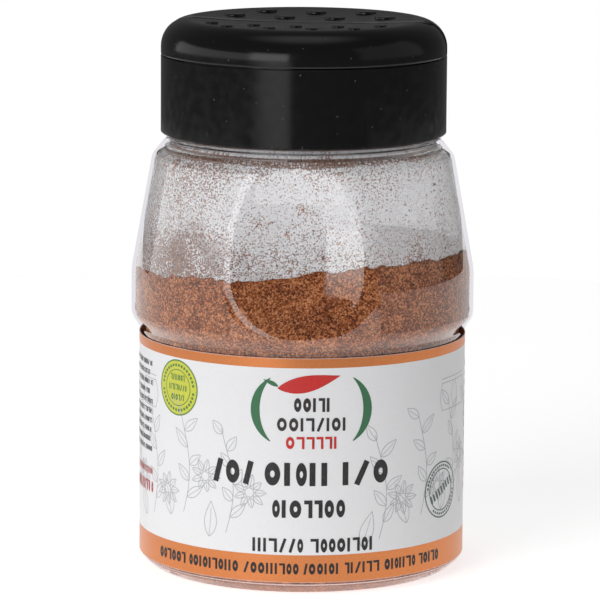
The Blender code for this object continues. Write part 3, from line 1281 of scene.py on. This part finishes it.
@dataclass
class Cap:
    """The black cap: a skirt, a deck with sockets, a bridge, and a flap on each side of it."""

    radius: float = 26.0
    bottom: float = 79.55
    seam: float = 93.75
    top: float = 100.3
    fillet: float = 5.0
    dish: float = 0.65
    shell: float = 1.2
    gap: float = 0.3
    deck: float = 2.0
    neck_bore: float = 23.5
    turn: float = math.radians(-8.8)
    bridge: tuple[float, float] = (-2.2, 1.0)
    bridge_top: float = 99.6
    fine_plugs: tuple = (1.15, 7.64, ((5, -10.0), (4, -16.6)))
    coarse_plugs: tuple = (1.9, 9.27, ((4, 6.7), (3, 14.7)))
    finish: Finish = BlackPlastic("black_cap_plastic", (0.0062, 0.0062, 0.0066), 0.14, 0.42)

    def lid_outline(self, inset: float, foot: float, start: float = 0.0) -> np.ndarray:
        """The lid's section, from near its middle out to its foot.

        Args:
            inset: how far under the outside it lies.
            foot: height that the side goes down to.
            start: distance from the axis where it starts.

        Returns:
            Rows of (radius, height).
        """
        flat = self.radius - self.fillet
        rows = []
        for reach in np.linspace(start, flat, 26)[:-1]:
            rows.append((reach, self.top - inset - self.dish * (1 - (reach / flat) ** 2)))
        curve, middle = self.fillet - inset, self.top - self.fillet
        for angle in np.linspace(math.pi / 2, 0, 15):
            rows.append((flat + curve * math.cos(angle), middle + curve * math.sin(angle)))
        side = np.linspace(self.top - self.fillet, foot, 4)[1:]
        rows.extend((self.radius - inset, height) for height in side)
        return np.array(rows)

    def along_bridge(self, points: np.ndarray) -> np.ndarray:
        """Points turned from the bridge's own frame to the jar's."""
        cos, sin = math.cos(self.turn), math.sin(self.turn)
        x, y = points[..., 0], points[..., 1]
        return np.stack([x * cos - y * sin, x * sin + y * cos, points[..., 2]], axis=-1)

    def plug_places(self, plugs: tuple) -> list[tuple[float, float, float]]:
        """(x, y, height of the lid's top) of each plug, in the bridge's frame."""
        _, pitch, rows = plugs
        flat = self.radius - self.fillet
        places = []
        for count, across in rows:
            for index in range(count):
                along = (index - (count - 1) / 2) * pitch
                spread = min(1.0, math.hypot(along, across) / flat)
                places.append((along, across, self.top - self.dish * (1 - spread**2)))
        return places

    def plug_parts(
        self, plugs: tuple, grown: float, low: float, high: float, soft: float
    ) -> list[tuple[np.ndarray, list]]:
        """Turned pins at each plug's place.

        Args:
            plugs: radius, spacing and rows of the plugs.
            grown: how much wider than the plug each pin is.
            low: how far under the lid's top each pin starts.
            high: how far over it each pin ends.
            soft: the rounding of the top edge.

        Returns:
            (points, faces) of each pin.
        """
        radius = plugs[0] + grown
        parts = []
        for x, y, height in self.plug_places(plugs):
            foot, head = height - low, height + high
            section = [
                (0.001, foot),
                (radius, foot),
                (radius, head - soft),
                (radius - soft * 0.3, head - soft * 0.3),
                (radius - soft, head),
                (radius * 0.5, head),
                (0.001, head),
            ]
            points = turned(np.array(section), 32) + np.array([x, y, 0.0])
            parts.append((self.along_bridge(points), grid_faces(len(section), 32, True)))
        return parts

    def body(self) -> bpy.types.Object:
        """The skirt, deck and bridge, with a socket under each plug."""
        inset = self.shell + self.gap
        under = self.top - inset - self.dish - self.deck
        lid = self.lid_outline(inset, self.seam, 0.0)
        section = np.concatenate(
            [
                lid,
                [(self.radius - 0.12, self.seam), (self.radius, self.seam - 0.12)],
                [(self.radius, self.bottom + 0.3), (self.radius - 0.3, self.bottom)],
                [(self.radius - 1.4, self.bottom), (self.radius - 1.4, 91.0)],
                [(self.neck_bore, 92.0), (self.neck_bore, under), (0.0, under)],
            ]
        )
        points = turned(refined(section, 4.0), 192)
        mesh = joined_mesh("cap_whole", [(points, grid_faces(len(points), 192, True))])
        tidy_mesh(mesh)
        pins = []
        for plugs in (self.fine_plugs, self.coarse_plugs):
            pins += self.plug_parts(plugs, 0.35, inset + 1.0, 1.0, 0.1)
        cutter = joined_mesh("socket_pins", pins)
        tidy_mesh(cutter)
        hollowed = carved("cap_base", mesh, cutter)
        hollowed.shade_smooth()
        hollowed.set_sharp_from_angle(angle=math.radians(30))
        base = piece("cap_base", hollowed, self.finish.build(), stands_for=["cap_body"])
        self.bridge_strip()
        return base

    def bridge_strip(self) -> bpy.types.Object:
        """The strip between the flaps, which runs over the top and down both sides to the seam."""
        lid = self.lid_outline(0.12, self.seam - 0.3, 3.0)
        half = np.minimum(lid, (math.inf, self.bridge_top))
        far, near = self.bridge[1], self.bridge[0]
        reach = np.linspace(near, far, 7)
        rows = []
        for way, rows_of in ((-1.0, half[::-1]), (1.0, half)):
            for radius, height in rows_of:
                along = way * np.sqrt(np.maximum(radius**2 - reach**2, 0.0))
                rows.append(np.stack([along, reach, np.full(len(reach), height)], axis=-1))
        points = self.along_bridge(np.array(rows))
        mesh = joined_mesh("cap_bridge", [(points, grid_faces(len(points), len(reach), False))])
        tidy_mesh(mesh, sharp=60)
        strip = piece("cap_bridge", mesh, bpy.data.materials[self.finish.name])
        thick = strip.modifiers.new("thickness", "SOLIDIFY")
        thick.thickness, thick.offset = 1.6 * MM, -1.0
        self.soften(strip, 0.15)
        return strip

    @staticmethod
    def soften(made: bpy.types.Object, width: float) -> None:
        """Rounds a piece's sharp edges by this many millimetres."""
        edge = made.modifiers.new("soft edges", "BEVEL")
        edge.width, edge.segments, edge.limit_method = width * MM, 2, "ANGLE"
        edge.angle_limit = math.radians(50)
        edge.use_clamp_overlap = True

    def flap(
        self, name: str, node: str, body: str, plugs: tuple, side: int, edge: float
    ) -> bpy.types.Object:
        """One flap with the discs of its plugs.

        Args:
            name: the piece's name.
            node: the CAD node that it stands for.
            body: the body that it moves with.
            plugs: radius, spacing and rows of its plugs.
            side: -1 for the front flap, 1 for the rear one.
            edge: distance of its straight edge from the middle.

        Returns:
            The flap.
        """
        lid = self.lid_outline(0.0, self.seam + self.gap, edge)
        share = np.linspace(-1.0, 1.0, 161)
        rows = []
        for radius, height in lid:
            turn = share * math.acos(min(1.0, edge / radius))
            x, y = radius * np.sin(turn), side * radius * np.cos(turn)
            rows.append(np.stack([x, y, np.full(len(share), height)], axis=-1))
        points = self.along_bridge(np.array(rows))
        mesh = joined_mesh(name, [(points, grid_faces(len(points), len(share), False))])
        tidy_mesh(mesh)
        if mesh.polygons[len(mesh.polygons) // 3].normal.z < 0:
            mesh.flip_normals()
        made = piece(name, mesh, bpy.data.materials[self.finish.name], body, [node])
        thick = made.modifiers.new("thickness", "SOLIDIFY")
        thick.thickness, thick.offset = self.shell * MM, -1.0
        self.soften(made, 0.16)
        pins = self.plug_parts(plugs, 0.0, self.shell + 0.7, 0.25, 0.14)
        discs = joined_mesh(f"{name}_plugs", pins)
        tidy_mesh(discs)
        piece(f"{name}_plugs", discs, bpy.data.materials[self.finish.name], body)
        return made

    def build(self) -> None:
        """The whole cap."""
        self.body()
        front, rear = self.gap - self.bridge[0], self.gap + self.bridge[1]
        self.flap("front_flap", "flap_fine", "fine_flap", self.fine_plugs, -1, front)
        self.flap("rear_flap", "flap_coarse", "coarse_flap", self.coarse_plugs, 1, rear)


# --------------------------------------------------------------------------- studio


@dataclass(frozen=True)
class Panel:
    """A soft white panel far off, by its directions in degrees: across from the front, and up.

    Its sides fade over the soft widths. Where fade is given, it grows from none to full
    strength between those two directions across.
    """

    strength: float
    across: tuple[float, float]
    across_soft: float
    up: tuple[float, float]
    up_soft: float
    fade: tuple[float, float] | None = None


@dataclass
class Studio:
    """A pale floor, soft white light, mostly from the left, and the camera."""

    elevation: float = math.radians(9.55)
    distance: float = 783.0
    aim: tuple[float, float, float] = (-0.45, 0.0, 48.5)
    roll: float = math.radians(0.36)
    lens: float = 256.2
    floor_radius: float = 330.0
    floor_glow: float = 0.72
    card_height: float = 48.0
    card_reach: float = 240.0
    cards: tuple = ((-178.0, -46.0, 0.34), (50.0, 178.0, 0.03))
    panels: tuple[Panel, ...] = (
        Panel(0.8, (-125.0, -12.5), 1.0, (-3.0, 18.0), 5.0),
        Panel(1.3, (-44.0, -12.5), 2.0, (-3.0, 24.0), 3.0),
        Panel(0.75, (-48.0, -11.0), 1.0, (-40.0, -3.0), 2.0, (-46.0, -26.0)),
        Panel(0.2, (46.0, 110.0), 3.0, (-2.0, 40.0), 6.0),
    )
    overhead: float = 0.56
    fill_light: float = 0.09
    key_power: float = 4.2
    side_power: float = 0.02

    def floor(self) -> bpy.types.Object:
        """A round white floor."""
        section = np.array([(reach, 0.0) for reach in np.linspace(0.001, self.floor_radius, 20)])
        points = turned(section, 96)
        mesh = joined_mesh("studio_floor", [(points, grid_faces(len(points), 96, True))])
        graph, made, shader = Finish("white_floor", (0.8, 0.8, 0.8), 0.9, 0.0).start()
        tone = graph.step(graph.noise(graph.millimetres(), 0.02, 2.0), 0.3, 0.7, 0.985, 1.0)
        grey = graph.add("ShaderNodeCombineColor", {0: tone, 1: tone, 2: tone}).outputs[0]
        graph.feed(shader.inputs["Base Color"], grey)
        shader.inputs["Emission Color"].default_value = (1.0, 1.0, 1.0, 1.0)
        shader.inputs["Emission Strength"].default_value = self.floor_glow
        mesh.materials.append(made)
        ground = bpy.data.objects.new("studio_floor", mesh)
        bpy.context.scene.collection.objects.link(ground)
        return ground

    def card(self, start: float, end: float, strength: float) -> bpy.types.Object:
        """A low white card that only the gloss of the jar mirrors.

        Args:
            start: direction of its first edge, in degrees from the front.
            end: direction of its last edge.
            strength: how brightly it glows.

        Returns:
            The card.
        """
        count = 24
        turn = np.radians(np.linspace(start, end, count))
        x, y = self.card_reach * np.sin(turn), -self.card_reach * np.cos(turn)
        heights = (0.5, self.card_height)
        rows = [np.stack([x, y, np.full(count, height)], axis=-1) for height in heights]
        mesh = joined_mesh("studio_card", [(np.array(rows), grid_faces(2, count, False))])
        _, made, shader = Finish("white_card", (0.8, 0.8, 0.8), 0.9, 0.0).start()
        shader.inputs["Emission Color"].default_value = (1.0, 1.0, 1.0, 1.0)
        shader.inputs["Emission Strength"].default_value = strength
        mesh.materials.append(made)
        stand = bpy.data.objects.new("studio_card", mesh)
        bpy.context.scene.collection.objects.link(stand)
        stand.visible_camera = stand.visible_transmission = False
        stand.visible_diffuse = stand.visible_shadow = False
        return stand

    def light(self) -> None:
        """Soft white light all round, strongest from the panels at the front left."""
        world = bpy.data.worlds.new("studio_light")
        bpy.context.scene.world = world
        world.use_nodes = True
        graph = Nodes(world.node_tree)
        world.node_tree.nodes.clear()
        way = graph.add("ShaderNodeTexCoord").outputs["Generated"]
        split = graph.add("ShaderNodeSeparateXYZ", {0: way}).outputs
        forward = graph.math("MULTIPLY", split[1], -1.0)
        around = graph.math("DEGREES", graph.math("ARCTAN2", split[0], forward))
        up = graph.math("DEGREES", graph.math("ARCSINE", split[2]))
        total = self.fill_light
        for panel in self.panels:
            across = graph.band(around, *panel.across, panel.across_soft)
            lit = graph.math("MULTIPLY", across, graph.band(up, *panel.up, panel.up_soft))
            if panel.fade:
                lit = graph.math("MULTIPLY", lit, graph.step(around, *panel.fade))
            total = graph.math("MULTIPLY_ADD", lit, panel.strength, total)
        above = graph.step(up, 60.0, 85.0)
        total = graph.math("MULTIPLY_ADD", above, self.overhead, total)
        path = graph.add("ShaderNodeLightPath").outputs
        seen = graph.math("MAXIMUM", path["Is Camera Ray"], path["Is Transmission Ray"])
        strength = graph.add("ShaderNodeMix", {0: seen, 2: total, 3: 1.0}, data_type="FLOAT")
        shine = graph.add("ShaderNodeBackground", {"Strength": strength.outputs[0]})
        shine.inputs["Color"].default_value = (1.0, 1.0, 1.0, 1.0)
        target = graph.add("ShaderNodeOutputWorld")
        graph.feed(target.inputs["Surface"], shine.outputs[0])

    def lamp(
        self, name: str, place: tuple[float, float, float], size: float, power: float
    ) -> bpy.types.Object:
        """A soft white lamp that faces the jar and isn't mirrored in it.

        Args:
            name: the lamp's name.
            place: where it hangs, in metres.
            size: its side, in metres.
            power: its power in watts.

        Returns:
            The lamp.
        """
        panel = bpy.data.lights.new(name, "AREA")
        panel.shape, panel.size, panel.energy = "SQUARE", size, power
        made = bpy.data.objects.new(name, panel)
        bpy.context.scene.collection.objects.link(made)
        made.location = place
        facing = Vector(place) - Vector((0.0, 0.0, 0.05))
        made.rotation_euler = facing.to_track_quat("Z", "Y").to_euler()
        made.visible_camera = made.visible_glossy = made.visible_transmission = False
        return made

    def camera(self) -> bpy.types.Object:
        """The camera, a little above the jar's front."""
        lens = bpy.data.cameras.new("studio_camera")
        lens.lens, lens.sensor_width = self.lens, 36.0
        lens.clip_start, lens.clip_end = 0.01, 20.0
        eye = bpy.data.objects.new("studio_camera", lens)
        bpy.context.scene.collection.objects.link(eye)
        target = Vector(self.aim) * MM
        back = Vector((0.0, -math.cos(self.elevation), math.sin(self.elevation)))
        eye.location = target + back * self.distance * MM
        facing = back.to_track_quat("Z", "Y").to_matrix()
        eye.rotation_euler = (facing @ Matrix.Rotation(self.roll, 3, "Z")).to_euler()
        bpy.context.scene.camera = eye
        return eye

    def build(self) -> None:
        """The floor, the light and the camera, with plain colour management."""
        bpy.context.scene.view_settings.view_transform = "Standard"
        self.floor()
        for start, end, strength in self.cards:
            self.card(start, end, strength)
        self.light()
        self.lamp("key_lamp", (-0.7, -0.85, 0.6), 0.7, self.key_power)
        self.lamp("side_lamp", (0.95, 0.1, 0.45), 0.6, self.side_power)
        self.camera()


def main() -> None:
    """Builds the jar, its contents, label and cap, and the studio round them."""
    logging.basicConfig(level=logging.INFO, format="%(name)s: %(message)s")
    specks_group()
    grain_group()
    jar = Jar()
    jar.build()
    fill = Fill(jar)
    fill.core()
    fill.dust()
    fill.clinging()
    Label().build()
    Cap().build()
    Studio().build()


if __name__ == "__main__":
    main()
